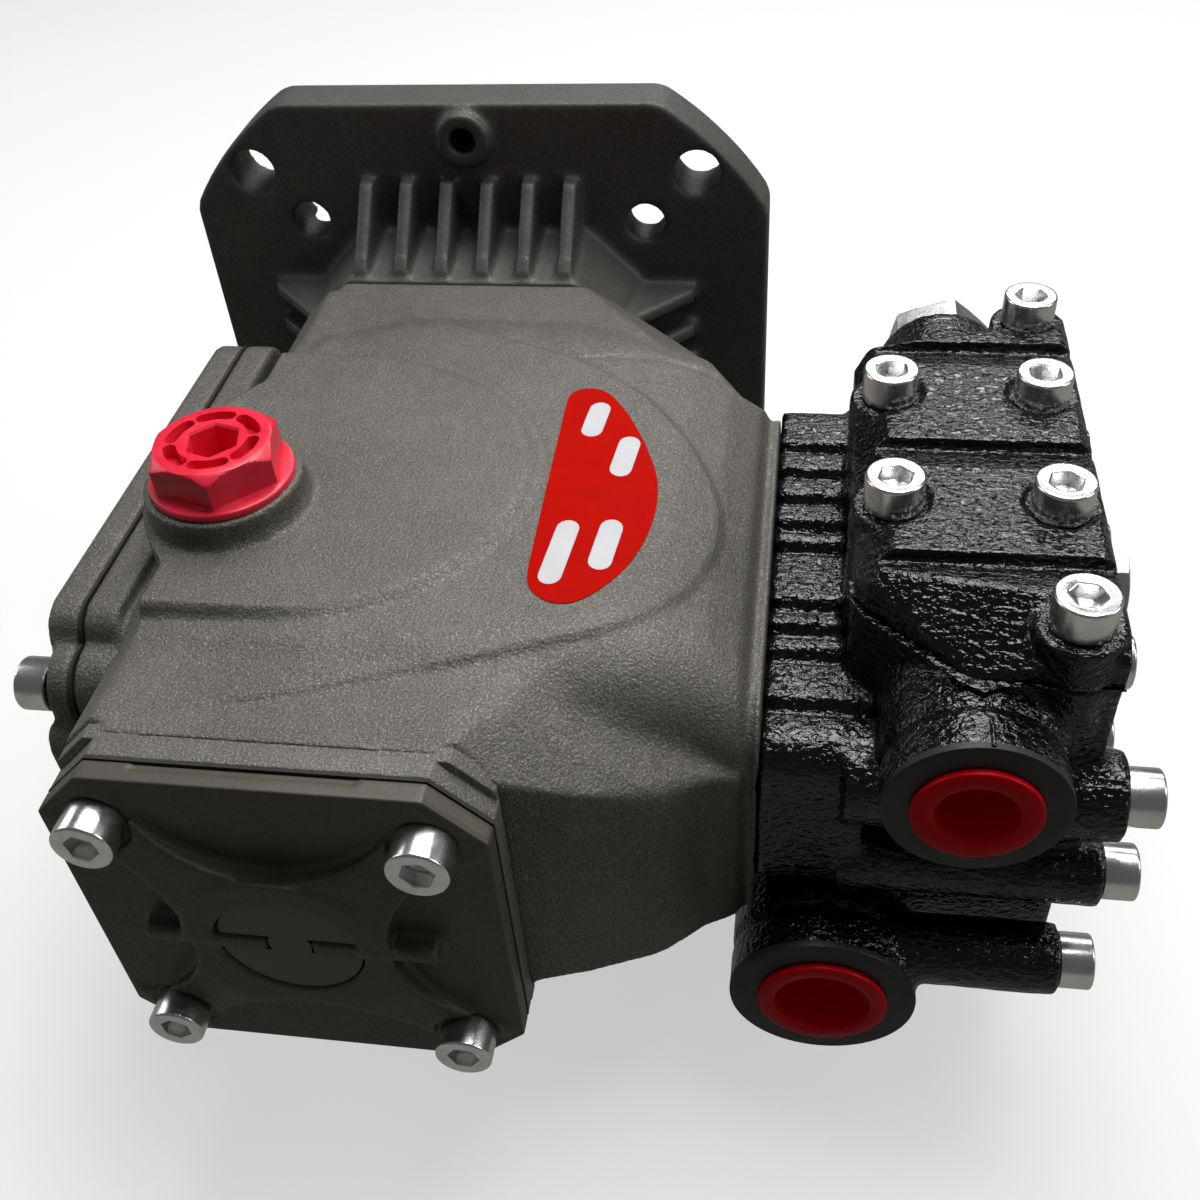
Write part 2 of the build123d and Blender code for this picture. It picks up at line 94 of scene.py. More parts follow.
def noise(tree, coords, sizeMm, detail=2.0, roughness=0.5, distortion=0.0):
    return addNode(tree, "ShaderNodeTexNoise", {
        "Vector": coords, "Scale": 1000.0 / sizeMm, "Detail": detail,
        "Roughness": roughness, "Distortion": distortion}).outputs["Fac"]


def spread(tree, value, low, high, outLow=0.0, outHigh=1.0):
    return addNode(tree, "ShaderNodeMapRange", {
        "Value": value, "From Min": low, "From Max": high,
        "To Min": outLow, "To Max": outHigh}).outputs["Result"]


def blendColour(tree, factor, first, second, mode="MIX"):
    mix = addNode(tree, "ShaderNodeMix", data_type="RGBA", blend_type=mode)
    for socket, value in ((mix.inputs[0], factor), (mix.inputs[6], first), (mix.inputs[7], second)):
        if isinstance(value, bpy.types.NodeSocket):
            tree.links.new(value, socket)
        else:
            socket.default_value = value
    return mix.outputs[2]


def bump(tree, height, depthMm, normal=None, strength=1.0):
    inputs = {"Height": height, "Distance": depthMm / 1000.0, "Strength": strength}
    if normal is not None:
        inputs["Normal"] = normal
    return addNode(tree, "ShaderNodeBump", inputs).outputs["Normal"]


# Floor, backdrop light and lamps
stage = {"floorHeight": -0.0700, "floorColour": "#f4f3f1", "bounceColour": "#48432f"}
floorMesh = bpy.data.meshes.new("floor")
reach = 4.0
floorMesh.from_pydata(
    [(-reach, -reach, stage["floorHeight"]), (reach, -reach, stage["floorHeight"]),
     (reach, reach, stage["floorHeight"]), (-reach, reach, stage["floorHeight"])], [], [(0, 1, 2, 3)])
floor = bpy.data.objects.new("floor", floorMesh)
bpy.context.collection.objects.link(floor)
floorMaterial, tree, coords = newMaterial("paleFloor")
path = addNode(tree, "ShaderNodeLightPath")
seen = blendColour(tree, path.outputs["Is Camera Ray"], linear(stage["bounceColour"]),
                   linear(stage["floorColour"]))
diffuse = addNode(tree, "ShaderNodeBsdfDiffuse", {"Color": seen})
glow = addNode(tree, "ShaderNodeEmission", {"Color": (1, 1, 1, 1), "Strength": 1.0})
share = addNode(tree, "ShaderNodeMath", {0: path.outputs["Is Camera Ray"], 1: 0.55}, operation="MULTIPLY")
reflected = addNode(tree, "ShaderNodeMath", {0: path.outputs["Is Glossy Ray"], 1: 0.18, 2: share.outputs[0]},
                    operation="MULTIPLY_ADD")
mixed = addNode(tree, "ShaderNodeMixShader", {
    0: reflected.outputs[0], 1: diffuse.outputs[0], 2: glow.outputs[0]})
finishMaterial(tree, mixed)
floorMesh.materials.append(floorMaterial)

world = bpy.data.worlds.new("studio")
world.use_nodes = True
world.node_tree.nodes.clear()
skyPath = addNode(world.node_tree, "ShaderNodeLightPath")
skyLevel = spread(world.node_tree, skyPath.outputs["Is Camera Ray"], 0.0, 1.0, 0.09, 0.93)
sky = addNode(world.node_tree, "ShaderNodeBackground", {"Color": (0.97, 0.98, 1.0, 1.0), "Strength": skyLevel})
addNode(world.node_tree, "ShaderNodeOutputWorld", {"Surface": sky.outputs[0]})
bpy.context.scene.world = world


def addLamp(name, place, target, width, height, watts, colour=(1, 1, 1)):
    data = bpy.data.lights.new(name, "AREA")
    data.shape = "RECTANGLE"
    data.size = width
    data.size_y = height
    data.energy = watts
    data.color = colour
    lamp = bpy.data.objects.new(name, data)
    bpy.context.collection.objects.link(lamp)
    lamp.location = place
    lamp.rotation_euler = (Vector(target) - Vector(place)).to_track_quat("-Z", "Y").to_euler()
    return lamp


addLamp("overheadSoftbox", (0.12, 0.10, 0.72), (0.03, -0.08, 0.0), 0.62, 0.42, 6.6)
addLamp("rearStrip", (0.30, 0.75, 0.58), (0.06, -0.08, 0.0), 0.9, 0.12, 2.6)
addLamp("rightFill", (0.85, -0.10, 0.45), (0.05, -0.1, 0.0), 0.30, 0.4, 1.5)
addLamp("leftFill", (-0.75, 0.05, 0.40), (0.0, -0.1, 0.0), 0.4, 0.4, 1.1)
print("stage ready")


def castFinish(name, colours, grainMm, grainDepthMm, roughness, metallic, glintAndPitShade=0.35, coat=0.0):
    material, tree, coords = newMaterial(name)
    dark, middle, light = (linear(c) for c in colours)
    patches = noise(tree, coords, 40.0, 5.0, 0.6)
    clouds = noise(tree, coords, 4.0, 3.0, 0.55)
    grain = noise(tree, coords, grainMm, 3.0, 0.65)
    glintSpecks = noise(tree, coords, grainMm * 0.55, 1.0, 0.5)
    base = blendColour(tree, spread(tree, patches, 0.36, 0.64), dark, middle)
    base = blendColour(tree, spread(tree, clouds, 0.50, 0.80, 0.0, 0.12), base, light)
    # Painted glints: the lighter tone laid on the high spots of the speck noise, which are also made shinier
    base = blendColour(tree, spread(tree, glintSpecks, 0.52, 0.70, 0.0, glintAndPitShade), base, light)
    # Painted shade: the grain's low spots, the hollows of its bump, darkened towards a deep tone
    pitShade = addNode(tree, "ShaderNodeMath", {0: spread(tree, grain, 0.36, 0.50, 1.0, 0.0), 1: glintAndPitShade * 0.6},
                   operation="MULTIPLY").outputs[0]
    base = blendColour(tree, pitShade, base, tuple(0.45 * v for v in dark[:3]) + (1.0,))
    edge = addNode(tree, "ShaderNodeNewGeometry").outputs["Pointiness"]
    base = blendColour(tree, spread(tree, edge, 0.53, 0.62, 0.0, 0.35), base, light)
    rough = spread(tree, glintSpecks, 0.35, 0.70, roughness[1], roughness[0])
    normal = bump(tree, clouds, grainDepthMm * 1.4)
    normal = bump(tree, grain, grainDepthMm * 2.2, normal)
    shader = addNode(tree, "ShaderNodeBsdfPrincipled", {
        "Base Color": base, "Roughness": rough, "Normal": normal})
    shader.inputs["Metallic"].default_value = metallic
    shader.inputs["Coat Weight"].default_value = coat
    shader.inputs["Coat Roughness"].default_value = 0.18
    finishMaterial(tree, shader)
    return material


def blackPaintFinish(name):
    material, tree, coords = newMaterial(name)
    stretch = addNode(tree, "ShaderNodeMapping", {"Vector": coords, "Scale": (0.72, 1.0, 1.0)}).outputs[0]
    coarse = noise(tree, stretch, 1.05, 2.0, 0.50, 0.3)
    fine = noise(tree, coords, 0.55, 2.0, 0.55)
    swell = noise(tree, coords, 7.0, 2.0, 0.5)
    base = blendColour(tree, spread(tree, swell, 0.4, 0.65), linear("#050506"), linear("#0a0a0b"))
    rough = spread(tree, fine, 0.35, 0.70, 0.08, 0.18)
    skin = spread(tree, coarse, 0.36, 0.64)
    normal = bump(tree, swell, 0.6)
    normal = bump(tree, skin, 0.18, normal)
    shader = addNode(tree, "ShaderNodeBsdfPrincipled", {
        "Base Color": base, "Roughness": rough, "Normal": normal})
    shader.inputs["Specular IOR Level"].default_value = 0.55
    finishMaterial(tree, shader)
    return material


def machinedBlackFinish(name):
    material, tree, coords = newMaterial(name)
    fine = noise(tree, coords, 0.5, 2.0, 0.5)
    patch = noise(tree, coords, 7.0, 3.0, 0.55)
    base = blendColour(tree, spread(tree, patch, 0.35, 0.7), linear("#141413"), linear("#1c1c1b"))
    shader = addNode(tree, "ShaderNodeBsdfPrincipled", {
        "Base Color": base, "Roughness": spread(tree, patch, 0.3, 0.7, 0.48, 0.62),
        "Normal": bump(tree, fine, 0.02)})
    finishMaterial(tree, shader)
    return material


def metalFinish(name, colour, shade, roughness, lineMm=0.25, depthMm=0.012):
    material, tree, coords = newMaterial(name)
    cloud = noise(tree, coords, 3.5, 3.0, 0.5)
    lines = noise(tree, coords, lineMm, 1.0, 0.5)
    base = blendColour(tree, spread(tree, cloud, 0.35, 0.7), linear(colour), linear(shade))
    shader = addNode(tree, "ShaderNodeBsdfPrincipled", {
        "Base Color": base,
        "Roughness": spread(tree, cloud, 0.3, 0.7, roughness[0], roughness[1]),
        "Normal": bump(tree, lines, depthMm)})
    shader.inputs["Metallic"].default_value = 1.0
    finishMaterial(tree, shader)
    return material


def plasticFinish(name, colour, shade, roughness, grainMm=0.6, depthMm=0.015, scatter=0.0, gloss=0.5):
    material, tree, coords = newMaterial(name)
    cloud = noise(tree, coords, 6.0, 3.0, 0.55)
    grain = noise(tree, coords, grainMm, 2.0, 0.5)
    base = blendColour(tree, spread(tree, cloud, 0.35, 0.7), linear(colour), linear(shade))
    shader = addNode(tree, "ShaderNodeBsdfPrincipled", {
        "Base Color": base,
        "Roughness": spread(tree, cloud, 0.3, 0.7, roughness[0], roughness[1]),
        "Normal": bump(tree, grain, depthMm)})
    shader.inputs["Specular IOR Level"].default_value = gloss
    if scatter:
        shader.inputs["Subsurface Weight"].default_value = scatter
        shader.inputs["Subsurface Scale"].default_value = 0.0015
        shader.inputs["Subsurface Radius"].default_value = (1.0, 0.25, 0.2)
    finishMaterial(tree, shader)
    return material


# Shot-blasted aluminium casting: warm grey, a fine grain with light specks painted on as glints and dark pits
# painted as shade in its hollows
caseFinish = castFinish("blastedAluminium", ("#55524b", "#625f58", "#a09d97"), 0.6, 0.14,
                        (0.34, 0.56), 0.30, 0.5)
# The same aluminium casting on the motor side: darker and duller, with a softer grain
bellFinish = castFinish("blastedAluminiumDark", ("#454340", "#514f4c", "#74716c"), 0.7, 0.05,
                        (0.42, 0.64), 0.3)
# Die-cast aluminium cover: smoother, olive grey, a low even sheen
coverFinish = castFinish("coverAluminium", ("#47443a", "#514e45", "#6a675f"), 0.8, 0.02,
                         (0.40, 0.55), 0.25, 0.12)
# Gloss black enamel sprayed over sand-cast iron: wet highlights broken up by the sand's grain,
# drawn about 1 mm coarse, so that it shows
blackPaint = blackPaintFinish("blackPaintOnIron")
# Black enamel on a machined face: flat and satin, with hardly any grain
machinedBlack = machinedBlackFinish("paintedPortFace")
# Bright zinc plate on steel screws and plugs: pale, mirror-like but clouded
zincPlate = metalFinish("zincPlate", "#f3f4f3", "#e0e2e1", (0.19, 0.30))
# Ground steel of the hollow shaft: grey with fine grinding lines
groundSteel = metalFinish("groundSteel", "#a9acaf", "#8f9296", (0.22, 0.36), 0.18, 0.02)
# Pressed gasket paper: a dark, dull, fibrous edge
gasketPaper = plasticFinish("gasketPaper", "#23211f", "#302d2a", (0.75, 0.9), 0.3, 0.04)
# Moulded nitrile rubber: black with a faint sheen
sealRubber = plasticFinish("sealRubber", "#19191a", "#222224", (0.45, 0.6), 0.4, 0.02)
# Oil behind a moulded polyamide window: smoky olive brown, lightly glossy
smokedWindow = plasticFinish("smokedWindow", "#3f3b2f", "#4a463a", (0.22, 0.34), 3.0, 0.02)
# Moulded polypropylene of the filler: pinkish red that glows softly at its edges
redPlastic = plasticFinish("redPlastic", "#dc1c37", "#e82a46", (0.28, 0.38), 0.5, 0.02, 0.12, 0.5)
# Soft polyethylene of the transport caps: deep red, waxy
deepRedPlastic = plasticFinish("deepRedPlastic", "#e8061a", "#f2081f", (0.30, 0.40), 0.7, 0.02, 0.12, 0.12)
# Printed polyester film: flat strong red, and its bare pale fields
labelRed = plasticFinish("labelRed", "#a90a02", "#b10c03", (0.55, 0.65), 0.4, 0.004, 0.0, 0.02)
labelWhite = plasticFinish("labelWhite", "#c3c4c6", "#babcbe", (0.45, 0.55), 0.4, 0.004, 0.0, 0.3)
print("materials ready")

nodeFinishes = {
    "motor_bell": bellFinish, "bell_screws": zincPlate, "crankcase": caseFinish,
    "side_cover": coverFinish, "side_cover_gasket": gasketPaper, "oil_sight_glass": smokedWindow,
    "rear_cover": caseFinish, "rear_cover_gasket": gasketPaper, "rear_cover_screws": zincPlate,
    "hollow_shaft": groundSteel, "shaft_seal": sealRubber, "oil_filler_plug": redPlastic,
    "oil_drain_plug": zincPlate, "valve_cover": blackPaint, "cylinder_head": blackPaint,
    "head_bolts": zincPlate, "outlet_port_plug": deepRedPlastic, "inlet_port_plug": deepRedPlastic,
    "outlet_rear_plug": zincPlate, "inlet_rear_plug": zincPlate, "gauge_port_plug": zincPlate,
}
for nodeName, node in nodes.items():
    finish = nodeFinishes.get(nodeName, zincPlate)
    if not node.material_slots:
        continue
    for materialSlot in node.material_slots:
        materialSlot.link = "OBJECT"
        materialSlot.material = finish


def addPiece(name, mesh, finish, replaced=(), smooth=True):
    piece = bpy.data.objects.new(name, mesh)
    bpy.context.collection.objects.link(piece)
    if not mesh.materials:
        mesh.materials.append(finish)
    if smooth:
        mesh.shade_smooth()
    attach(piece, "root")
    if replaced:
        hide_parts(*replaced)
    return piece


def applied(piece):
    bpy.context.view_layer.update()
    shown = piece.evaluated_get(bpy.context.evaluated_depsgraph_get())
    return bpy.data.meshes.new_from_object(shown)


def relax(mesh, rounds, weights):
    # Each point moves towards the middle of its neighbours, as far as its weight allows
    count = len(mesh.vertices)
    points = np.empty(count * 3)
    mesh.vertices.foreach_get("co", points)
    points = points.reshape(-1, 3)
    ends = np.empty(len(mesh.edges) * 2, dtype=np.int64)
    mesh.edges.foreach_get("vertices", ends)
    first, second = ends[0::2], ends[1::2]
    degree = np.bincount(first, minlength=count) + np.bincount(second, minlength=count)
    weight = weights(points)[:, None] if callable(weights) else np.full((count, 1), weights)
    for _ in range(rounds):
        total = np.stack([np.bincount(first, points[second, k], count)
                          + np.bincount(second, points[first, k], count) for k in range(3)], 1)
        points += (total / degree[:, None] - points) * weight
    mesh.vertices.foreach_set("co", points.ravel())
    mesh.update()


def moveMesh(mesh, reshape):
    # All points at once, in millimetres
    points = np.empty(len(mesh.vertices) * 3)
    mesh.vertices.foreach_get("co", points)
    points = reshape(points.reshape(-1, 3) * 1000)
    mesh.vertices.foreach_set("co", (points / 1000).ravel())
    mesh.update()


def takeMesh(blank, mesh):
    # Ready for the next modifier
    blank.modifiers.clear()
    old = blank.data
    blank.data = mesh
    bpy.data.meshes.remove(old)


# Weights and rounds of the castings' smoothing: the first pass after the even mesh, the broad
# one that takes out edges of the shoulder, and the last one after the skin is reshaped
smoothing = {"first": (2, 0.5), "broadRounds": 45, "last": (1, 0.35)}


def softCasting(name, source, voxelMm, rounds, weights, finish, waviness=0.0, wavesMm=9.0,
                reshape=None, most=92000, broad=None):
    # An even mesh of the CAD solid, its corners softened and its skin slightly wavy
    blank = bpy.data.objects.new(name + "Blank", nodes[source].data.copy())
    bpy.context.collection.objects.link(blank)
    remesh = blank.modifiers.new("evenMesh", "REMESH")
    remesh.mode = "VOXEL"
    remesh.voxel_size = voxelMm / 1000
    mesh = applied(blank)
    relax(mesh, *smoothing["first"])
    relax(mesh, rounds, weights)
    if broad:
        relax(mesh, smoothing["broadRounds"], broad)
    if reshape:
        moveMesh(mesh, reshape)
        relax(mesh, *smoothing["last"])
    if waviness:
        takeMesh(blank, mesh)
        texture = bpy.data.textures.new(name + "Waves", "CLOUDS")
        texture.noise_scale = wavesMm / 1000
        texture.noise_depth = 2
        waves = blank.modifiers.new("waves", "DISPLACE")
        waves.texture = texture
        waves.texture_coords = "LOCAL"
        waves.mid_level = 0.62
        waves.strength = waviness / 1000
        mesh = applied(blank)
    if len(mesh.polygons) > most:
        takeMesh(blank, mesh)
        fewer = blank.modifiers.new("fewerFaces", "DECIMATE")
        fewer.ratio = most / len(mesh.polygons)
        mesh = applied(blank)
    bpy.data.objects.remove(blank)
    mesh.name = name
    mesh.materials.clear()
    mesh.materials.append(finish)
    piece = addPiece(name, mesh, finish, (source,))
    print(name, len(mesh.polygons), "faces")
    return piece


def ease(values, low, high):
    # 0 below low, 1 above high, smooth between
    t = np.clip((values - low) / (high - low), 0.0, 1.0)
    return t * t * (3 - 2 * t)


def ringPoints(kind, radius, height, cap, segments, turn):
    points = []
    for index in range(segments):
        angle = 2 * math.pi * index / segments
        reachOut = radius
        if kind == "hex":
            reachOut = radius / math.cos((angle + math.pi / 6) % (math.pi / 3) - math.pi / 6)
            if cap:
                reachOut = min(reachOut, cap)
        points.append((reachOut * math.cos(angle + turn), reachOut * math.sin(angle + turn), height))
    return points


def turned(rings, segments=48, turn=0.0, closeStart=True, closeEnd=True):
    # Rings of (kind, radius, height, cap): round, or hex with half its width across flats
    verts, faces = [], []
    for kind, radius, height, cap in rings:
        verts += [Vector(p) / 1000 for p in ringPoints(kind, radius, height, cap, segments, turn)]
    for ring in range(len(rings) - 1):
        a, b = ring * segments, (ring + 1) * segments
        for index in range(segments):
            after = (index + 1) % segments
            faces.append((a + index, a + after, b + after, b + index))
    if closeStart:
        faces.append(tuple(reversed(range(segments))))
    if closeEnd:
        last = (len(rings) - 1) * segments
        faces.append(tuple(range(last, last + segments)))
    mesh = bpy.data.meshes.new("turned")
    mesh.from_pydata([tuple(v) for v in verts], [], faces)
    mesh.update()
    return mesh


def facing(place, direction, turn=0.0):
    # Puts a turned mesh's base at a place, its axis along a direction
    rotation = Vector(direction).to_track_quat("Z", "Y").to_matrix().to_4x4()
    spin = Matrix.Rotation(turn, 4, "Z")
    return Matrix.Translation(Vector(millimetres(*place))) @ rotation @ spin


def smoothByAngle(mesh, degrees=35.0):
    mesh.shade_smooth()
    mesh.set_sharp_from_angle(angle=math.radians(degrees))


# Socket screws, M6
screw = {"head": 5.0, "height": 6.0, "edge": 0.55, "socket": 2.5, "depth": 3.0, "seatFillet": 0.25}


def screwRings():
    top, edge, r = screw["height"], screw["edge"], screw["head"]
    rings = [("round", r - screw["seatFillet"], 0.0, 0), ("round", r, screw["seatFillet"], 0)]
    for step in range(5):
        angle = math.pi / 2 * step / 4
        rings.append(("round", r - edge * (1 - math.cos(angle)), top - edge + edge * math.sin(angle), 0))
    rings += [("round", 3.35, top, 0), ("hex", screw["socket"] + 0.28, top - 0.02, 0),
              ("hex", screw["socket"], top - 0.26, 0), ("hex", screw["socket"], top - screw["depth"], 0),
              ("round", 0.4, top - screw["depth"] - 0.9, 0)]
    return rings


screwMesh = turned(screwRings())
smoothByAngle(screwMesh, 40)
screwMesh.materials.append(zincPlate)


def repeatTree():
    # Geometry nodes that set a template on every point, turned as the point's attribute says
    group = bpy.data.node_groups.new("setOnPoints", "GeometryNodeTree")
    face = group.interface
    face.new_socket("Geometry", in_out="INPUT", socket_type="NodeSocketGeometry")
    template = face.new_socket("Template", in_out="INPUT", socket_type="NodeSocketObject")
    finish = face.new_socket("Finish", in_out="INPUT", socket_type="NodeSocketMaterial")
    face.new_socket("Geometry", in_out="OUTPUT", socket_type="NodeSocketGeometry")
    start = group.nodes.new("NodeGroupInput")
    end = group.nodes.new("NodeGroupOutput")
    info = group.nodes.new("GeometryNodeObjectInfo")
    turnOf = group.nodes.new("GeometryNodeInputNamedAttribute")
    turnOf.data_type = "FLOAT_VECTOR"
    turnOf.inputs["Name"].default_value = "turn"
    spread = group.nodes.new("GeometryNodeInstanceOnPoints")
    real = group.nodes.new("GeometryNodeRealizeInstances")
    paint = group.nodes.new("GeometryNodeSetMaterial")
    link = group.links.new
    link(start.outputs["Geometry"], spread.inputs["Points"])
    link(start.outputs["Template"], info.inputs["Object"])
    link(info.outputs["Geometry"], spread.inputs["Instance"])
    link(turnOf.outputs["Attribute"], spread.inputs["Rotation"])
    link(spread.outputs["Instances"], real.inputs["Geometry"])
    link(real.outputs["Geometry"], paint.inputs["Geometry"])
    link(start.outputs["Finish"], paint.inputs["Material"])
    link(paint.outputs["Geometry"], end.inputs["Geometry"])
    return group, template.identifier, finish.identifier


setOnPoints, templateInput, finishInput = repeatTree()


def repeated(name, templateMesh, matrices, finish, replaced):
    points = bpy.data.meshes.new(name + "Points")
    points.from_pydata([tuple(m.translation) for m in matrices], [], [])
    turns = points.attributes.new("turn", "FLOAT_VECTOR", "POINT")
    for index, m in enumerate(matrices):
        turns.data[index].vector = m.to_euler()
    holder = bpy.data.objects.new(name + "Points", points)
    template = bpy.data.objects.new(name + "Template", templateMesh)
    for thing in (holder, template):
        bpy.context.collection.objects.link(thing)
    modifier = holder.modifiers.new("repeat", "NODES")
    modifier.node_group = setOnPoints
    modifier[templateInput] = template
    modifier[finishInput] = finish
    mesh = applied(holder)
    holder.modifiers.remove(modifier)
    bpy.data.objects.remove(holder)
    bpy.data.objects.remove(template)
    mesh.name = name
    return addPiece(name, mesh, finish, replaced, smooth=False)


def placed(name, mesh, matrix, finish, replaced=()):
    mesh = mesh.copy()
    mesh.transform(matrix)
    if not mesh.materials:
        mesh.materials.append(finish)
    return addPiece(name, mesh, finish, replaced, smooth=False)


sideScrews = {"spacing": 26.3, "seat": -183.6, "turns": (12, 40, 25, 5)}
for number, (x, z) in enumerate(((-1, 1), (1, 1), (1, -1), (-1, -1)), 1):
    place = (x * sideScrews["spacing"], sideScrews["seat"], z * sideScrews["spacing"])
    placed(f"sideCoverScrew{number}", screwMesh,
           facing(place, (0, -1, 0), math.radians(sideScrews["turns"][number - 1])),
           zincPlate, (f"side_cover_screw_{number}",))

coverScrews = {"right": 121.7, "left": 94.5, "seat": 44.2, "row": -104.0,
               "rightOffsets": (-43.4, -16.0, 16.0, 43.4), "leftOffsets": (-16.0, 16.0)}
coverPlaces = [(coverScrews["right"], o) for o in coverScrews["rightOffsets"]]
coverPlaces += [(coverScrews["left"], o) for o in coverScrews["leftOffsets"]]
for number, (x, offset) in enumerate(coverPlaces, 1):
    placed(f"valveCoverScrew{number}", screwMesh,
           facing((x, coverScrews["row"] + offset, coverScrews["seat"]), (0, 0, 1), number * 0.37),
           zincPlate, (f"valve_cover_screw_{number}",))

bellScrews = {"seat": -26.0, "spacing": 26.3}
repeated("bellScrews", screwMesh,
         [facing((x * bellScrews["spacing"], bellScrews["seat"], z * bellScrews["spacing"]), (0, 1, 0), x + z)
          for x in (-1, 1) for z in (-1, 1)], zincPlate, ("bell_screws",))

rearScrews = {"x": -54.3, "middle": -101.5, "reach": 44.5, "rise": 15.0}
repeated("rearCoverScrews", screwMesh,
         [facing((rearScrews["x"], rearScrews["middle"] + y * rearScrews["reach"], z * rearScrews["rise"]),
                 (-1, 0, 0), 0.4 * y + z) for y in (-1, 1) for z in (-1, 1)],
         zincPlate, ("rear_cover_screws",))

headBolts = {"seat": 133.5, "row": -104.0, "offsets": (16.0, 47.5), "rise": 10.0,
             "lowSeat": 129.0, "lowOffset": 53.0, "lowRise": -30.0}
boltPlaces = [(headBolts["seat"], headBolts["row"] + side * offset, z * headBolts["rise"])
              for offset in headBolts["offsets"] for side in (-1, 1) for z in (-1, 1)]
boltPlaces += [(headBolts["lowSeat"], headBolts["row"] + side * headBolts["lowOffset"], headBolts["lowRise"])
               for side in (-1, 1)]
repeated("headBolts", screwMesh, [facing(p, (1, 0, 0), 0.3 * i) for i, p in enumerate(boltPlaces)],
         zincPlate, ("head_bolts",))
print("screws ready")

# Castings
# Forms of the crankcase's skin, in millimetres: a channel before the head's flange, a raised
# crest on top inside a curved step, a crease that runs from it to the head, the fall behind
# them, the round pad under the filler, and the front end drawn back behind its plate
crestForms = {
    "channelAt": 72.6, "channelHalf": 1.7, "channelDepth": 1.1, "middle": (-104.0, -3.0),
    "step": ((-25.0, -44.8), (-13.0, -47.5), (-0.4, -53.0), (11.1, -58.7), (22.2, -63.5), (33.0, -68.5),
             (41.6, -74.8), (49.0, -81.1), (57.4, -91.6), (63.2, -102.7), (65.3, -112.0), (64.6, -122.1),
             (61.1, -132.9), (55.6, -140.8), (48.6, -146.5), (37.8, -151.4), (27.0, -155.5), (16.1, -158.7),
             (2.1, -163.7), (-12.4, -167.4), (-25.0, -169.8)),
    "stepRise": 0.8, "stepWide": 0.75,
    "pad": (-7.5, -111.0, 37.8), "padTop": 39.6, "padWallX": (-25.0, 5.0), "padWall": (0.7, 1.7),
    "groundX": (-36.0, -31.0, -24.0, 0.0, 60.0), "ground": (36.0, 36.4, 37.0, 37.5, 37.5),
    "boss": (-23.5, -120.5, 14.5),
    "crease": ((34.4, -66.5), (46.4, -65.6), (60.8, -66.3), (70.0, -68.0)),
    "creaseDepth": 0.45, "creaseWide": 1.1,
    "fallX": (35.0, 49.0, 59.0, 66.3, 71.5, 75.0), "fallY": (-31.0, -43.5, -56.0, -68.5, -73.0, -76.5),
    "drawnBackFrom": -165.0, "drawnBack": 0.66, "filledNotch": (-20.3, 17.8, -176.5, 34.2), "bodyTop": 36.0,
    "fallHeight": 30.0, "fallSlope": 0.67, "fallCurve": 0.014,
}


def fineLine(corners, steps=8):
    # A smooth line through the corners, by Catmull and Rom's rule
    ends = [corners[0], *corners, corners[-1]]
    line = []
    for index in range(len(corners) - 1):
        p0, p1, p2, p3 = (np.array(ends[index + k]) for k in range(4))
        for step in range(steps):
            t = step / steps
            line.append(0.5 * (2 * p1 + (p2 - p0) * t + (2 * p0 - 5 * p1 + 4 * p2 - p3) * t * t
                               + (3 * p1 - p0 - 3 * p2 + p3) * t ** 3))
    line.append(np.array(corners[-1]))
    return np.array(line)


def distanceTo(points, line):
    nearest = np.full(len(points), 1e9)
    for start, end in zip(line[:-1], line[1:]):
        along = end - start
        share = np.clip((points - start) @ along / (along @ along), 0, 1)
        nearest = np.minimum(nearest, np.linalg.norm(points - start - share[:, None] * along, axis=1))
    return nearest


def insideOf(points, outline):
    inside = np.zeros(len(points), dtype=bool)
    for (x1, y1), (x2, y2) in zip(outline, np.roll(outline, -1, axis=0)):
        if y1 == y2:
            continue
        crosses = (y1 > points[:, 1]) != (y2 > points[:, 1])
        inside ^= crosses & (points[:, 0] < (x2 - x1) * (points[:, 1] - y1) / (y2 - y1) + x1)
    return inside


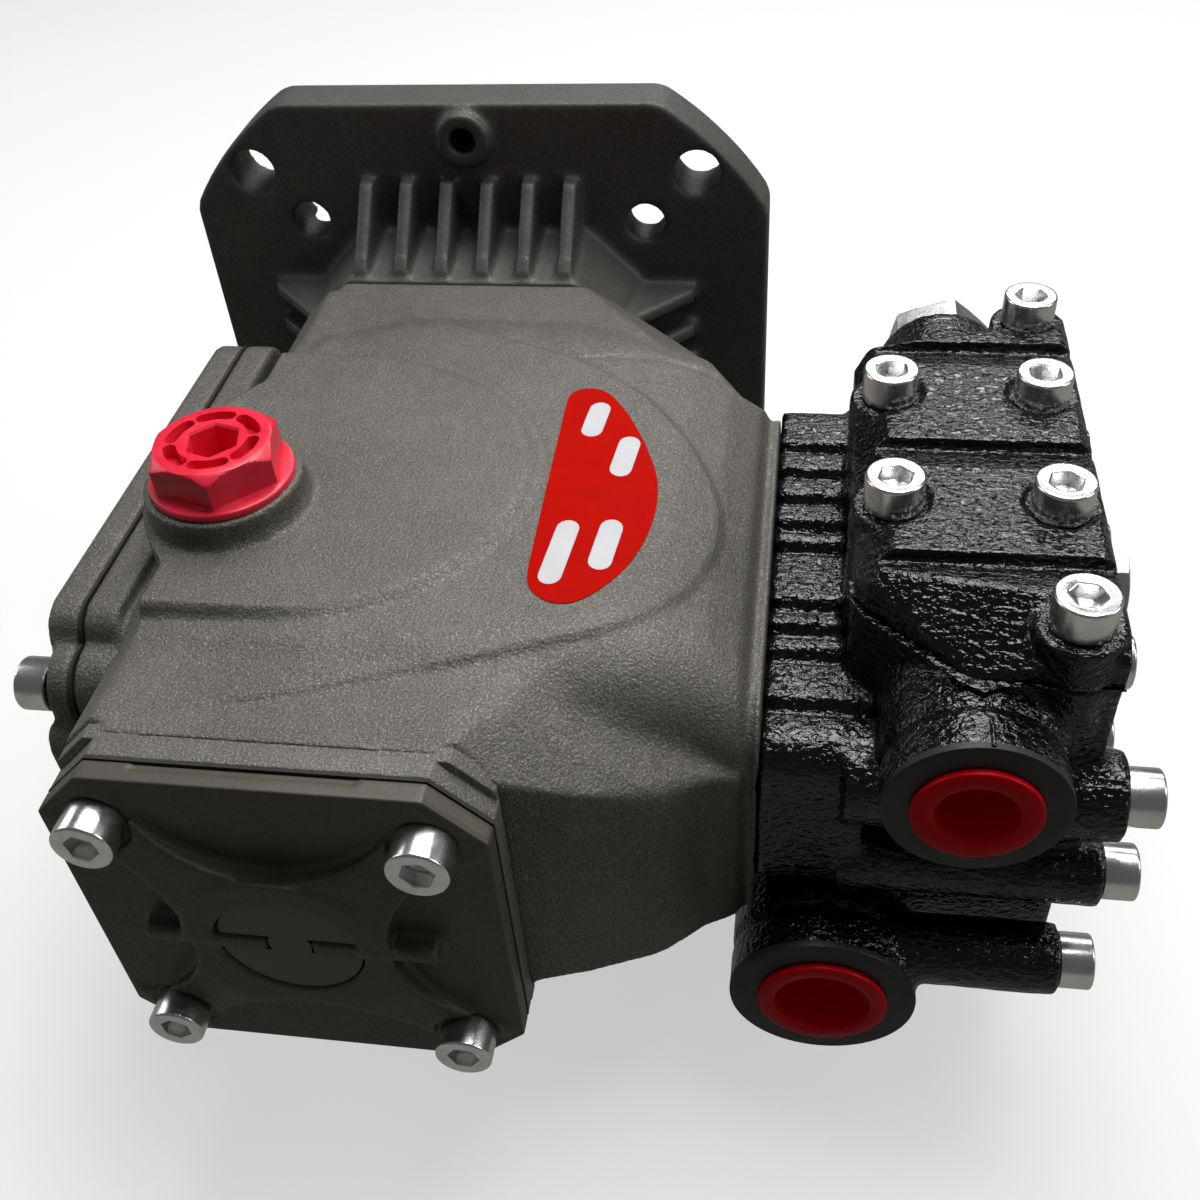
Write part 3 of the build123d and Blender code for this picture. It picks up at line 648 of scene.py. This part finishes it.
def shapeSkin(points):
    forms = crestForms
    left, right, front, low = forms["filledNotch"]
    notch = (points[:, 0] > left) & (points[:, 0] < right) & (points[:, 1] < front) & (points[:, 2] > low)
    points[notch, 2] = forms["bodyTop"]
    near = points[:, 1] < forms["drawnBackFrom"]
    points[near, 1] = forms["drawnBackFrom"] + (points[near, 1] - forms["drawnBackFrom"]) * forms["drawnBack"]
    x, y = points[:, 0], points[:, 1]
    out = np.clip(y - np.interp(x, forms["fallX"], forms["fallY"]), -4.0, None)
    most = forms["fallHeight"] - forms["fallSlope"] * out - forms["fallCurve"] * np.maximum(out, 0) ** 2
    behind = (x > forms["fallX"][0]) & (out > -4.0) & (points[:, 2] > most)
    points[behind, 2] = most[behind]
    top = np.flatnonzero(points[:, 2] > 14.0)
    flat = points[top, :2]
    step = fineLine(forms["step"])
    away = distanceTo(flat, step) * np.where(insideOf(flat, step), 1, -1)
    rise = ease(away, -forms["stepWide"], forms["stepWide"]) * forms["stepRise"]
    rise *= ease(flat[:, 0], -22.0, 2.0)
    crease = distanceTo(flat, fineLine(forms["crease"]))
    height = points[top, 2] + rise - forms["creaseDepth"] * (1 - ease(crease, 0.0, forms["creaseWide"]))
    # The round pad, its wall steep beside the filler and gentle towards the head
    padX, padY, radius = forms["pad"]
    bossX, bossY, bossRadius = forms["boss"]
    behindPad = np.where(flat[:, 1] > padY, np.interp(flat[:, 0], (-20.0, 10.0), (0.92, 1.0)), 1.0)
    fromPad = np.hypot(np.maximum(flat[:, 0] - padX, 0.0), (flat[:, 1] - padY) * behindPad)
    ground = np.interp(flat[:, 0], forms["groundX"], forms["ground"]) + rise
    wall = np.interp(flat[:, 0], forms["padWallX"], forms["padWall"])
    padHeight = ground + (forms["padTop"] - ground) * (1 - ease(fromPad, radius - wall, radius + wall))
    share = ease(flat[:, 0], -35.0, -31.0) * (1 - ease(fromPad, radius + 2.5, radius + 10.0))
    share *= ease(np.hypot(flat[:, 0] - bossX, flat[:, 1] - bossY), bossRadius, bossRadius + 1.2)
    share *= ease(points[top, 2], 34.9, 35.6)
    points[top, 2] = height + (padHeight - height) * share
    sideways = points[:, 1:] - np.array(forms["middle"])
    sideways /= np.linalg.norm(sideways, axis=1)[:, None]
    near = 1 - ease(np.abs(x - forms["channelAt"]), 0.2, forms["channelHalf"])
    points[:, 1:] -= sideways * near[:, None] * forms["channelDepth"]
    return points


def window(values, rise, fall):
    return ease(values, *rise) * (1 - ease(values, *fall))


def shoulderOnly(points):
    # Where the crest runs out without an edge: the front shoulder, and the skin before the pad
    x, y, z = points.T * 1000
    shoulder = window(x, (20, 34), (58, 68)) * window(-y, (118, 134), (166, 172)) * ease(z, 8, 18)
    beforePad = window(x, (-34, -26), (10, 20)) * window(-y, (149, 152), (162, 168)) * ease(z, 30, 33)
    return 0.5 * np.maximum(shoulder, beforePad)


crankcase = softCasting("crankcaseCasting", "crankcase", 0.66, 2,
                        lambda p: 0.5 * ease(-p[:, 0], -0.0745, -0.0730), caseFinish, 0.10, 14.0,
                        shapeSkin, broad=shoulderOnly)


def prism(outlines, bevelMm, name):
    # Solid steps from closed outlines in X and Z, each between two places along Y, edges eased
    build = bmesh.new()
    for outline, start, end in outlines:
        rings = [[build.verts.new(millimetres(x, y, z)) for x, z in outline] for y in (start, end)]
        count = len(outline)
        build.faces.new(rings[0])
        build.faces.new(list(reversed(rings[1])))
        for index in range(count):
            after = (index + 1) % count
            build.faces.new((rings[0][after], rings[0][index], rings[1][index], rings[1][after]))
    bmesh.ops.recalc_face_normals(build, faces=build.faces[:])
    bmesh.ops.bevel(build, geom=build.edges[:], offset=bevelMm / 1000, segments=2, profile=0.5, affect="EDGES")
    mesh = bpy.data.meshes.new(name)
    build.to_mesh(mesh)
    build.free()
    smoothByAngle(mesh, 50)
    return mesh


def cutSquare(across, cut):
    half = across / 2
    return [(half, half - cut), (half - cut, half), (cut - half, half), (-half, half - cut),
            (-half, cut - half), (cut - half, -half), (half - cut, -half), (half, cut - half)]


# The machined plate at the crankcase's front end, its corners cut further back than the body's
endPlate = {"across": 72.0, "cut": 9.0, "behind": 71.4, "bodyCut": 6.4, "front": -178.95,
            "step": -175.4, "back": -172.3, "edge": 0.28}
addPiece("crankcaseEndPlate", prism(
    ((cutSquare(endPlate["across"], endPlate["cut"]), endPlate["front"], endPlate["step"] + 0.6),
     (cutSquare(endPlate["behind"], endPlate["bodyCut"]), endPlate["step"], endPlate["back"])),
    endPlate["edge"], "crankcaseEndPlate"), caseFinish, smooth=False)
softCasting("bellCasting", "motor_bell", 0.8, 1,
            lambda p: 0.5 * ease(-p[:, 1], 0.001, 0.003), bellFinish)
coverNotch = {"left": -19.5, "right": 17.0, "front": -181.3, "depth": 0.3, "edge": 0.35}


def notchInRim(points):
    # A long shallow recess in the cover's top rim, open to the joint, for a lever
    notch = coverNotch
    within = ease(points[:, 0], notch["left"], notch["left"] + 2 * notch["edge"])
    within *= 1 - ease(points[:, 0], notch["right"] - 2 * notch["edge"], notch["right"])
    within *= ease(points[:, 1], notch["front"], notch["front"] + notch["edge"]) * ease(points[:, 2], 34.6, 35.2)
    points[:, 2] -= within * notch["depth"]
    return points


softCasting("sideCoverCasting", "side_cover", 0.45, 2,
            lambda p: 0.5 * ease(-p[:, 1], 0.1800, 0.1812), coverFinish, reshape=notchInRim)
softCasting("rearCoverCasting", "rear_cover", 0.8, 4, lambda p: np.full(len(p), 0.5), caseFinish)
ports = {
    "outlet": {"x": 108.2, "z": 20.5, "face": -165.4, "boss": 14.65, "bore": 8.35, "rim": 10.15},
    "inlet": {"x": 87.6, "z": -36.7, "face": -165.4, "boss": 17.0, "bore": 10.5, "rim": 11.8},
}


def behindPortFaces(points):
    points[:, 1] = np.maximum(points[:, 1], ports["outlet"]["face"] + 0.45)
    return points


softCasting("headCasting", "cylinder_head", 0.72, 2,
            lambda p: 0.5 * ease(p[:, 0], 0.0745, 0.0760), blackPaint, 0.35, 7.0, behindPortFaces)
softCasting("valveCoverCasting", "valve_cover", 0.5, 2, lambda p: np.full(len(p), 0.5),
            blackPaint, 0.25, 6.0)
print("castings ready")

# Turned port faces, each a crisp painted ring on its boss
for portName, port in ports.items():
    boss, bore = port["boss"], port["bore"]
    rings = [("round", bore, -4.0, 0), ("round", bore, -0.7, 0), ("round", bore + 0.7, 0.0, 0),
             ("round", boss - 0.45, 0.0, 0), ("round", boss - 0.1, -0.15, 0), ("round", boss, -0.5, 0),
             ("round", boss, -1.3, 0), ("round", boss - 1.5, -3.0, 0), ("round", bore, -4.0, 0)]
    mesh = turned(rings, 96, closeStart=False, closeEnd=False)
    smoothByAngle(mesh, 30)
    placed(portName + "PortFace", mesh, facing((port["x"], port["face"], port["z"]), (0, -1, 0)),
           machinedBlack)

# Push-in caps
capShape = {"lip": 1.2, "wall": 1.9, "floor": -9.4, "step": 0.9, "stepHeight": 1.6}


def capRings(port):
    rim, bore, inner = port["rim"], port["bore"] - 0.05, port["bore"] - capShape["wall"]
    lip, low = capShape["lip"], capShape["floor"]
    return [("round", 0.3, low - 1.5, 0), ("round", bore - 0.6, low - 1.5, 0), ("round", bore, low - 0.9, 0),
            ("round", bore, 0.0, 0), ("round", rim - 0.15, 0.0, 0), ("round", rim, 0.2, 0),
            ("round", rim, lip - 0.4, 0), ("round", rim - 0.12, lip - 0.12, 0), ("round", rim - 0.4, lip, 0),
            ("round", inner + 0.45, lip, 0), ("round", inner + 0.12, lip - 0.12, 0),
            ("round", inner, lip - 0.45, 0), ("round", inner - 0.25, low + capShape["stepHeight"], 0),
            ("round", inner - capShape["step"], low + capShape["stepHeight"] - 0.25, 0),
            ("round", inner - capShape["step"] - 0.15, low + 0.2, 0),
            ("round", inner - capShape["step"] - 0.4, low, 0),
            ("round", 2.2, low, 0), ("round", 2.0, low + 0.5, 0), ("round", 0.3, low + 0.6, 0)]


for portName, port in ports.items():
    mesh = turned(capRings(port), 72)
    smoothByAngle(mesh, 38)
    placed(portName + "PortCap", mesh, facing((port["x"], port["face"], port["z"]), (0, -1, 0)),
           deepRedPlastic, (portName + "_port_plug",))


# Hexagon plugs with the corners turned off
def hexPlugRings(across, height, thread, depth):
    flat = across / 2
    corner = flat / math.cos(math.pi / 6)
    rings = [("round", thread, -depth, 0), ("round", thread, -0.01, 0), ("round", flat * 0.97, 0.0, 0),
             ("round", flat * 0.99, 0.3, 0)]
    for step in range(4):
        share = step / 3
        rings.append(("hex", flat, 0.35 + share * (corner - flat) * 0.5, flat + share * (corner - flat)))
    for step in range(5):
        share = 1 - step / 4
        rings.append(("hex", flat, height - share * (corner - flat) * 0.55,
                      flat * 0.985 + share * (corner - flat * 0.985)))
    rings += [("round", flat * 0.93, height, 0), ("round", flat * 0.4, height, 0)]
    return rings


hexPlugs = {
    "gauge_port_plug": ((130.0, -118.0, 26.0), (1, 0, 0), 13.0, 5.0, 3.95, 8.0, 0.52),
    "outlet_rear_plug": ((108.2, -40.0, 20.5), (0, 1, 0), 22.0, 8.0, 8.3, 12.0, 0.2),
    "inlet_rear_plug": ((87.6, -40.0, -36.7), (0, 1, 0), 27.0, 8.0, 10.45, 12.0, 0.1),
    "oil_drain_plug": ((0.0, -104.0, -41.0), (0, 0, -1), 13.0, 5.0, 4.95, 8.0, 0.3),
}
for plugNode, (place, axis, across, height, thread, depth, turn) in hexPlugs.items():
    mesh = turned(hexPlugRings(across, height, thread, depth), 96)
    smoothByAngle(mesh, 22)
    parts = plugNode.split("_")
    placed(parts[0] + "".join(word.title() for word in parts[1:]), mesh, facing(place, axis, turn),
           zincPlate, (plugNode,))

# Oil filler: a hexagon on a flange, with six curved slots and a key socket
filler = {"x": -23.2, "y": -121.0, "seat": 45.0, "flange": 13.0, "hex": 10.5, "top": 8.4,
          "socket": 4.3, "turn": math.radians(14), "slot": (6.2, 8.6), "slotArc": 0.34, "slotDepth": 2.6}


def fillerRings():
    flange, flat, top = filler["flange"], filler["hex"], filler["top"]
    corner = flat / math.cos(math.pi / 6)
    rings = [("round", 8.45, -9.0, 0), ("round", 8.45, -0.02, 0), ("round", flange - 0.35, 0.0, 0),
             ("round", flange, 0.35, 0), ("round", flange, 1.15, 0), ("round", flange - 0.15, 1.45, 0),
             ("round", flange - 0.5, 1.6, 0), ("hex", flat + 0.35, 1.7, flange - 0.9), ("hex", flat, 2.1, 0)]
    for step in range(5):
        share = 1 - step / 4
        rings.append(("hex", flat - 0.12 * (1 - share), top - 0.15 - share * 1.25,
                      flat * 0.99 + share * (corner - flat * 0.99)))
    rings += [("round", flat * 0.955, top, 0), ("round", 5.85, top, 0),
              ("hex", filler["socket"] + 0.35, top - 0.05, 0),
              ("hex", filler["socket"], top - 0.45, 0), ("hex", filler["socket"], top - 6.6, 0),
              ("round", 0.4, top - 6.8, 0)]
    return rings


def slotCutter():
    # Six curved prisms with rounded ends, for the boolean that cuts the slots
    inner, outer = filler["slot"]
    verts, faces = [], []
    for number in range(6):
        outline = []
        middle = number * math.pi / 3 + math.pi / 6
        for step in range(9):
            angle = middle - filler["slotArc"] + 2 * filler["slotArc"] * step / 8
            outline.append((outer * math.cos(angle), outer * math.sin(angle)))
        half = (outer - inner) / 2
        for end in (1, -1):
            angle = middle + end * filler["slotArc"]
            centre = Vector(((inner + half) * math.cos(angle), (inner + half) * math.sin(angle)))
            if end == 1:
                for step in range(1, 6):
                    around = angle + math.pi * step / 6
                    outline.append((centre.x + half * math.cos(around), centre.y + half * math.sin(around)))
                for step in range(9):
                    inside = angle - 2 * filler["slotArc"] * step / 8
                    outline.append((inner * math.cos(inside), inner * math.sin(inside)))
            else:
                for step in range(1, 6):
                    around = angle + math.pi + math.pi * step / 6
                    outline.append((centre.x + half * math.cos(around), centre.y + half * math.sin(around)))
        base, count = len(verts), len(outline)
        for height in (filler["top"] - filler["slotDepth"], filler["top"] + 1.0):
            verts += [(x / 1000, y / 1000, height / 1000) for x, y in outline]
        faces.append([base + i for i in reversed(range(count))])
        faces.append([base + count + i for i in range(count)])
        faces += [[base + i, base + (i + 1) % count, base + count + (i + 1) % count, base + count + i]
                  for i in range(count)]
    mesh = bpy.data.meshes.new("slots")
    mesh.from_pydata(verts, [], faces)
    return mesh


cutter = bpy.data.objects.new("slots", slotCutter())
bodyBlank = bpy.data.objects.new("fillerBlank", turned(fillerRings(), 96))
for thing in (cutter, bodyBlank):
    bpy.context.collection.objects.link(thing)
cut = bodyBlank.modifiers.new("cutSlots", "BOOLEAN")
cut.operation = "DIFFERENCE"
cut.solver = "EXACT"
cut.object = cutter
mesh = applied(bodyBlank)
bpy.data.objects.remove(bodyBlank)
bpy.data.objects.remove(cutter)
smoothByAngle(mesh, 25)
mesh.materials.clear()
placed("oilFiller", mesh, facing((filler["x"], filler["y"], filler["seat"]), (0, 0, 1), filler["turn"]),
       redPlastic, ("oil_filler_plug",))
print("plugs and caps ready")

# Blank rating label: a red D with four white fields
label = {
    "outline": ((38.6, -142.4), (34.3, -138.6), (34.0, -129.8), (33.3, -100.0), (32.9, -80.2), (39.5, -79.0),
                (44.9, -86.1), (49.8, -96.2), (53.2, -105.3), (54.0, -113.4), (53.2, -123.0), (50.4, -132.7),
                (46.1, -139.4), (42.5, -142.4)),
    "fields": ((38.7, -129.5, 17.0), (39.6, -90.1, 11.5), (46.6, -101.1, 12.5), (46.4, -126.6, 13.5)),
    "fieldWidth": 4.4, "fieldTilt": math.radians(-5),
}


def roundedOutline(points, radius, steps=5):
    # Each corner of the closed outline becomes a short curve
    result = []
    count = len(points)
    for index in range(count):
        before, corner, after = (Vector(points[(index + k) % count]) for k in (-1, 0, 1))
        start = corner + (before - corner).normalized() * min(radius, (before - corner).length * 0.48)
        end = corner + (after - corner).normalized() * min(radius, (after - corner).length * 0.48)
        for step in range(steps + 1):
            t = step / steps
            result.append((1 - t) ** 2 * start + 2 * t * (1 - t) * corner + t ** 2 * end)
    return result


def plate(outline, low, high):
    count = len(outline)
    verts = [(v[0] / 1000, v[1] / 1000, z / 1000) for z in (low, high) for v in outline]
    faces = [list(reversed(range(count))), list(range(count, 2 * count))]
    faces += [[i, (i + 1) % count, count + (i + 1) % count, count + i] for i in range(count)]
    mesh = bpy.data.meshes.new("plate")
    mesh.from_pydata(verts, [], faces)
    mesh.update()
    return mesh


def stuckOn(name, outline, lift, finish):
    # A thin sheet that follows the casting under it, lift millimetres above it
    build = bmesh.new()
    face = build.faces.new([build.verts.new((v[0] / 1000, v[1] / 1000, 0.05)) for v in outline])
    face.normal_update()
    if face.normal.z < 0:
        face.normal_flip()
    bmesh.ops.triangulate(build, faces=build.faces[:])
    for _ in range(3):
        longEdges = [e for e in build.edges if e.calc_length() > 0.0022]
        bmesh.ops.subdivide_edges(build, edges=longEdges, cuts=1)
        bmesh.ops.triangulate(build, faces=build.faces[:])
    for vert in build.verts:
        hit = casting.ray_cast(Vector((vert.co.x, vert.co.y, 0.08)), Vector((0, 0, -1)))
        vert.co.z = hit[0].z + lift / 1000
    sheet = bpy.data.meshes.new(name)
    build.to_mesh(sheet)
    build.free()
    blank = bpy.data.objects.new(name + "Blank", sheet)
    bpy.context.collection.objects.link(blank)
    thick = blank.modifiers.new("thickness", "SOLIDIFY")
    thick.thickness = (lift + 0.2) / 1000
    thick.offset = -1
    mesh = applied(blank)
    bpy.data.objects.remove(blank)
    mesh.materials.clear()
    mesh.materials.append(finish)
    smoothByAngle(mesh, 40)
    return addPiece(name, mesh, finish, smooth=False)


casting = BVHTree.FromObject(crankcase, bpy.context.evaluated_depsgraph_get())
stuckOn("ratingLabel", roundedOutline([Vector(p) for p in label["outline"]], 4.5, 6), 0.17, labelRed)
for number, (x, y, long) in enumerate(label["fields"], 1):
    half = label["fieldWidth"] / 2
    tilt = label["fieldTilt"]
    outline = []
    for end in (1, -1):
        for step in range(9):
            around = math.pi * step / 8 + (0 if end == 1 else math.pi)
            px, py = half * math.cos(around) * 0.92, end * (long / 2 - half) + half * math.sin(around)
            outline.append((x + px * math.cos(tilt) - py * math.sin(tilt),
                            y + px * math.sin(tilt) + py * math.cos(tilt)))
    stuckOn(f"labelField{number}", outline, 0.21, labelWhite)
print("label ready")

# Casting details of the head: parting seam, flash under the valve cover, curved web
headDetails = {
    "seam": ((108.9, -165.0, 35.0), (109.0, -160.0, 35.1), (108.7, -157.4, 34.2), (108.6, -154.0, 34.6)),
    "seamRadius": 0.42,
    "web": ((112.0, -147.5, -10.5), (103.0, -148.2, -11.5), (95.0, -149.0, -15.5), (89.5, -150.0, -24.0)),
    "webRadius": 4.6,
    "flash": ((87.9, -131.0), (88.1, -135.6), (89.6, -139.0), (94.0, -143.3), (99.6, -148.3), (104.8, -153.2),
              (108.1, -155.0), (111.0, -153.6), (118.0, -153.3), (129.0, -153.0), (129.0, -150.0), (107.0, -150.0),
              (91.0, -136.0), (90.0, -131.0)),
}


def bentRod(name, points, radiusMm, finish, taper=None):
    # A round rod along a smooth line, sunk into the casting it belongs to
    curve = bpy.data.curves.new(name, "CURVE")
    curve.dimensions = "3D"
    curve.bevel_depth = radiusMm / 1000
    curve.bevel_resolution = 5
    curve.resolution_u = 10
    spline = curve.splines.new("NURBS")
    spline.points.add(len(points) - 1)
    for index, point in enumerate(points):
        spline.points[index].co = (*millimetres(*point), 1.0)
        spline.points[index].radius = taper[index] if taper else 1.0
    spline.use_endpoint_u = True
    spline.order_u = 3
    curve.use_fill_caps = True
    blank = bpy.data.objects.new(name + "Blank", curve)
    bpy.context.collection.objects.link(blank)
    mesh = applied(blank)
    bpy.data.objects.remove(blank)
    mesh.materials.clear()
    mesh.materials.append(finish)
    return addPiece(name, mesh, finish)


bentRod("outletSeam", headDetails["seam"], headDetails["seamRadius"], blackPaint)
bentRod("headWeb", headDetails["web"], headDetails["webRadius"], blackPaint,
        (1.0, 0.95, 0.9, 0.7))
mesh = plate(headDetails["flash"], 35.8, 36.15)
addPiece("coverFlash", mesh, blackPaint, smooth=False)
print("head details ready")
